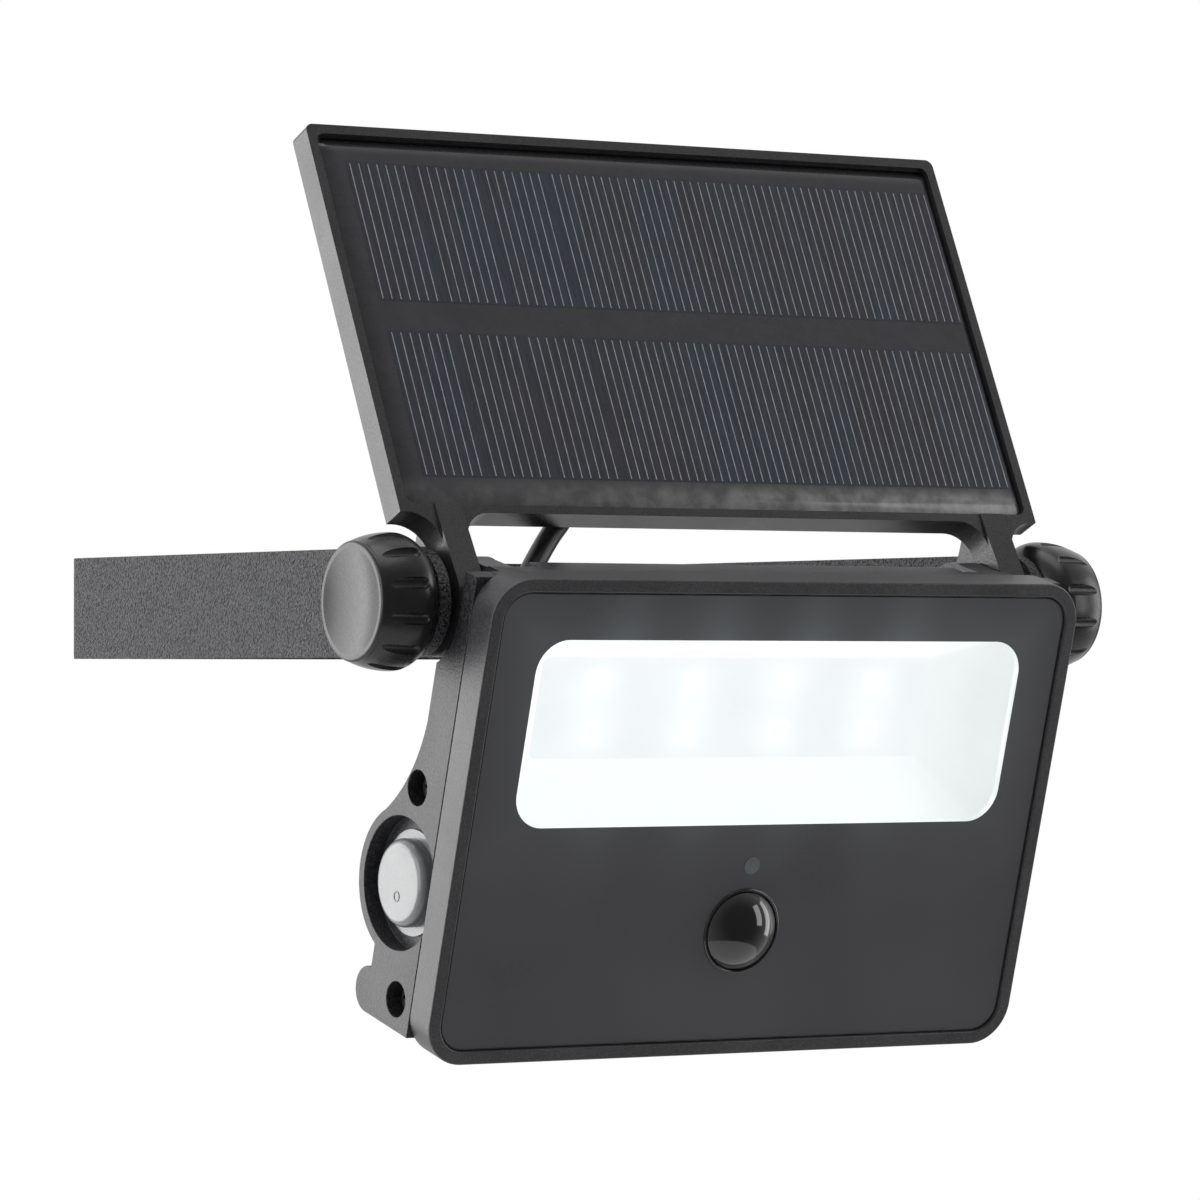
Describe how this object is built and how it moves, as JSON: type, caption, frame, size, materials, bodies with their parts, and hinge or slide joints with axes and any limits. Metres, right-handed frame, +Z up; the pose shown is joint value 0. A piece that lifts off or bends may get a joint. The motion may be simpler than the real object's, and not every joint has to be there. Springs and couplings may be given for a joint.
{
  "type": "solar flood light",
  "caption": "Outdoor flood light with a tilting solar panel and a tilting lamp head on one pivot axis in a U-shaped wall bracket, with clamping knobs and a motion sensor.",
  "frame": {"origin": "centre of the wall bracket's back face, the face that sits on the wall", "axes": "+Y into the wall, +Z up, +X to the right seen from the front; the light faces -Y"},
  "size_m": [0.2036, 0.1938, 0.2164],
  "materials": {
    "bracket_coat": "black textured powder coat",
    "black_washer": "matt black fibre",
    "housing_plastic": "fine spark-eroded satin dark grey",
    "frame_plastic": "fine spark-eroded satin dark grey",
    "cover_plastic": "satin dark grey",
    "clear_plastic": "clear polished",
    "seal_rubber": "matt black",
    "reflector_white": "white satin",
    "board_white": "white solder mask",
    "led_phosphor": "yellow phosphor",
    "spreader": "mill finish",
    "pir_black": "glossy black",
    "sensor_can": "nickel plated",
    "grey_light_pipe": "grey translucent",
    "blue_element": "dark blue epoxy",
    "green_board": "green solder mask",
    "component_black": "matt black",
    "cell_sleeve": "blue shrink sleeve",
    "inner_plastic": "black",
    "steel": "zinc plated",
    "switch_black": "satin black",
    "boot_silicone": "milky translucent silicone",
    "cable_pvc": "satin black PVC",
    "panel_plastic": "fine satin black",
    "laminate_back": "black board",
    "solar_silicon": "dark blue silicon with silver fingers",
    "solar_coat": "clear resin",
    "knob_plastic": "semi-gloss black",
    "brass": "turned"
  },
  "bodies": {
    "bracket": {"wall_bracket": "bracket_coat", "left_friction_washer": "black_washer", "right_friction_washer": "black_washer"},
    "lamp": {"front_frame": "frame_plastic", "front_cover": "cover_plastic", "window_lens": "clear_plastic", "cover_gasket": "seal_rubber", "reflector": "reflector_white", "led_board": "board_white", "led_chips": "led_phosphor", "heat_spreader": "spreader", "pir_lens": "pir_black", "pir_sensor": "sensor_can", "dusk_sensor_window": "grey_light_pipe", "dusk_sensor": "blue_element", "control_board": "green_board", "board_components": "component_black", "battery_cells": "cell_sleeve", "battery_cradle": "inner_plastic", "housing_seal": "seal_rubber", "rear_housing": "housing_plastic", "left_end_cap": "housing_plastic", "right_end_cap": "housing_plastic", "end_cap_gaskets": "seal_rubber", "end_cap_screws": "steel", "switch_body": "switch_black", "switch_boot": "boot_silicone", "switch_nut": "inner_plastic", "lamp_cable_gland": "cable_pvc", "left_pivot_bolt": "steel", "right_pivot_bolt": "steel", "solar_cable": "cable_pvc"},
    "rocker": {"switch_rocker": "switch_black"},
    "panel": {"panel_frame": "panel_plastic", "panel_seal": "seal_rubber", "solar_backing": "laminate_back", "solar_cells": "solar_silicon", "solar_resin": "solar_coat", "junction_box": "panel_plastic", "junction_lid": "panel_plastic", "junction_screws": "steel", "panel_cable_gland": "cable_pvc"},
    "left_knob": {"left_knob": "knob_plastic", "left_knob_insert": "brass"},
    "right_knob": {"right_knob": "knob_plastic", "right_knob_insert": "brass"}
  },
  "joints": [
    {"name": "lamp_tilt", "type": "hinge", "parent": "bracket", "child": "lamp", "pos_m": [0, -0.163, 0], "axis": [1, 0, 0], "range_deg": [-21, 74], "deforming": ["solar_cable"]},
    {"name": "panel_tilt", "type": "hinge", "parent": "bracket", "child": "panel", "pos_m": [0, -0.163, 0], "axis": [-1, 0, 0], "range_deg": [-30, 22], "deforming": ["solar_cable"]},
    {"name": "left_knob_turn", "type": "hinge", "parent": "lamp", "child": "left_knob", "pos_m": [-0.094, -0.163, 0], "axis": [-1, 0, 0], "range_deg": [0, 360]},
    {"name": "right_knob_turn", "type": "hinge", "parent": "lamp", "child": "right_knob", "pos_m": [0.094, -0.163, 0], "axis": [1, 0, 0], "range_deg": [0, 360]},
    {"name": "switch_rock", "type": "hinge", "parent": "lamp", "child": "rocker", "pos_m": [-0.0752, -0.15176, -0.06388], "axis": [0, -0.9613, -0.2756], "range_deg": [0, 14]}
  ]
}
